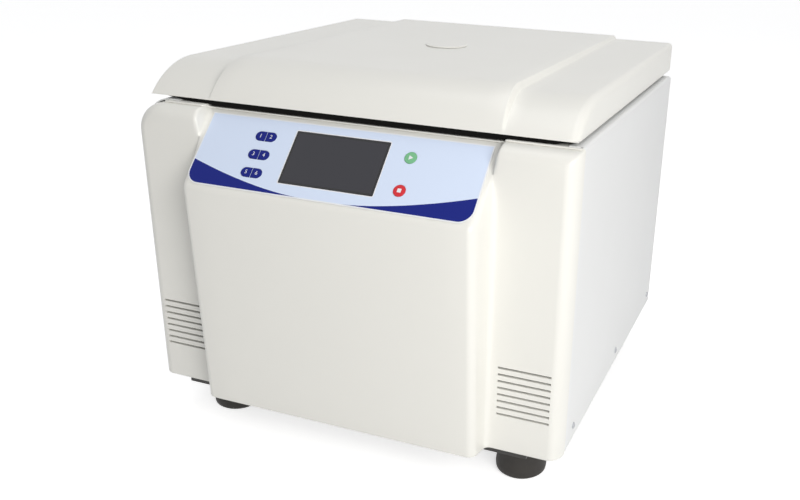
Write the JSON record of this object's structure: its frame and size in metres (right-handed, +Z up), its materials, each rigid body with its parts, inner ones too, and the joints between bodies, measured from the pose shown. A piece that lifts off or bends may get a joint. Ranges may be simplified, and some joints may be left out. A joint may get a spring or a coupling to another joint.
{
  "type": "benchtop high-speed centrifuge",
  "caption": "Bench-top laboratory centrifuge: boxy white cabinet with a leaning front bulge and sloped touch panel, hinged lid over a steel chamber with an angle rotor, rubber feet",
  "frame": {"origin": "on the ground under the centre of the overall box, with the rubber feet standing on z = 0", "axes": "+X to the user's right, +Y from the front panel to the rear, +Z up"},
  "size_m": [0.453, 0.4792, 0.3909],
  "materials": {
    "cream_shell": "semi-gloss cream moulding",
    "white_sheet": "white powder coat",
    "white_liner": "white painted aluminium",
    "deck_paint": "cream powder coat",
    "label_film": "light blue printed film",
    "screen": "dark grey display window",
    "key_blue": "dark blue key film",
    "start_green": "green key film",
    "stop_red": "red key film",
    "black_rubber": "moulded rubber",
    "grey_rubber": "soft seal",
    "stainless": "drawn stainless steel",
    "raw_steel": "zinc-plated steel",
    "black_steel": "dark paint",
    "anodised": "dark anodised",
    "board": "solder mask",
    "black_plastic": "moulded"
  },
  "bodies": {
    "cabinet": {"front_fascia": "cream_shell", "side_cover_left": "white_sheet", "side_cover_right": "white_sheet", "rear_cover": "white_sheet", "top_deck": "deck_paint", "control_label": "label_film", "display_module": "screen", "foot_front_left": "black_rubber", "foot_front_right": "black_rubber", "foot_rear_left": "black_rubber", "foot_rear_right": "black_rubber", "motor_damper_1": "black_rubber", "motor_damper_2": "black_rubber", "motor_damper_3": "black_rubber", "spindle_boot": "black_rubber", "chamber_gasket": "grey_rubber", "chamber_bowl": "stainless", "hinge_pin_left": "stainless", "hinge_pin_right": "stainless", "side_screw_left_1": "raw_steel", "side_screw_left_2": "raw_steel", "side_screw_left_3": "raw_steel", "side_screw_right_1": "raw_steel", "side_screw_right_2": "raw_steel", "side_screw_right_3": "raw_steel", "guard_ring": "raw_steel", "drive_motor": "raw_steel", "fan_guard": "raw_steel", "power_supply": "raw_steel", "motor_inverter": "raw_steel", "hinge_bracket_left": "raw_steel", "hinge_bracket_right": "raw_steel", "base_plate": "black_steel", "motor_frame": "black_steel", "control_board": "board", "power_inlet": "black_plastic", "mains_switch_body": "black_plastic", "fuse_cap": "black_plastic", "fan_frame": "black_plastic", "lock_housing": "black_plastic"},
    "lid": {"lid_shell": "cream_shell", "lid_liner": "white_liner", "lid_cap": "cream_shell", "lid_striker": "raw_steel", "hinge_arm_left": "raw_steel", "hinge_arm_right": "raw_steel"},
    "rotor": {"angle_rotor": "anodised", "spindle": "stainless"},
    "nut": {"rotor_nut": "anodised"},
    "fan": {"fan_wheel": "black_plastic"},
    "start_key": {"start_button": "start_green"},
    "stop_key": {"stop_button": "stop_red"},
    "rocker": {"mains_switch_rocker": "black_plastic"},
    "bolt": {"lock_bolt": "stainless"},
    "key_1": {"program_key_1": "key_blue"},
    "key_2": {"program_key_2": "key_blue"},
    "key_3": {"program_key_3": "key_blue"},
    "key_4": {"program_key_4": "key_blue"},
    "key_5": {"program_key_5": "key_blue"},
    "key_6": {"program_key_6": "key_blue"}
  },
  "joints": [
    {"name": "lid_hinge", "type": "hinge", "parent": "cabinet", "child": "lid", "pos_m": [0, 0.2266, 0.344], "axis": [-1, 0, 0], "range_deg": [0, 80]},
    {"name": "rotor_spin", "type": "hinge", "parent": "cabinet", "child": "rotor", "pos_m": [0, 0.0441, 0.2], "axis": [0, 0, 1], "continuous": true},
    {"name": "rotor_nut_turn", "type": "hinge", "parent": "rotor", "child": "nut", "pos_m": [0, 0.0441, 0.29], "axis": [0, 0, 1], "range_deg": [0, 90]},
    {"name": "fan_spin", "type": "hinge", "parent": "cabinet", "child": "fan", "pos_m": [-0.14, 0.2016, 0.14], "axis": [0, 1, 0], "continuous": true},
    {"name": "key_1_press", "type": "slide", "parent": "cabinet", "child": "key_1", "axis": [0, 0.7157, -0.6984], "range_m": [0, 0.0005], "stiffness_N_per_m": 3000},
    {"name": "key_2_press", "type": "slide", "parent": "cabinet", "child": "key_2", "axis": [0, 0.7157, -0.6984], "range_m": [0, 0.0005], "stiffness_N_per_m": 3000},
    {"name": "key_3_press", "type": "slide", "parent": "cabinet", "child": "key_3", "axis": [0, 0.7157, -0.6984], "range_m": [0, 0.0005], "stiffness_N_per_m": 3000},
    {"name": "key_4_press", "type": "slide", "parent": "cabinet", "child": "key_4", "axis": [0, 0.7157, -0.6984], "range_m": [0, 0.0005], "stiffness_N_per_m": 3000},
    {"name": "key_5_press", "type": "slide", "parent": "cabinet", "child": "key_5", "axis": [0, 0.7157, -0.6984], "range_m": [0, 0.0005], "stiffness_N_per_m": 3000},
    {"name": "key_6_press", "type": "slide", "parent": "cabinet", "child": "key_6", "axis": [0, 0.7157, -0.6984], "range_m": [0, 0.0005], "stiffness_N_per_m": 3000},
    {"name": "start_press", "type": "slide", "parent": "cabinet", "child": "start_key", "axis": [0, 0.7157, -0.6984], "range_m": [0, 0.0005], "stiffness_N_per_m": 3000},
    {"name": "stop_press", "type": "slide", "parent": "cabinet", "child": "stop_key", "axis": [0, 0.7157, -0.6984], "range_m": [0, 0.0005], "stiffness_N_per_m": 3000},
    {"name": "mains_rocker", "type": "hinge", "parent": "cabinet", "child": "rocker", "pos_m": [0.15, 0.2099, 0.152], "axis": [0, 0, 1], "range_deg": [0, 16]},
    {"name": "lock_bolt_slide", "type": "slide", "parent": "cabinet", "child": "bolt", "axis": [0, 1, 0], "range_m": [0, 0.012]}
  ]
}
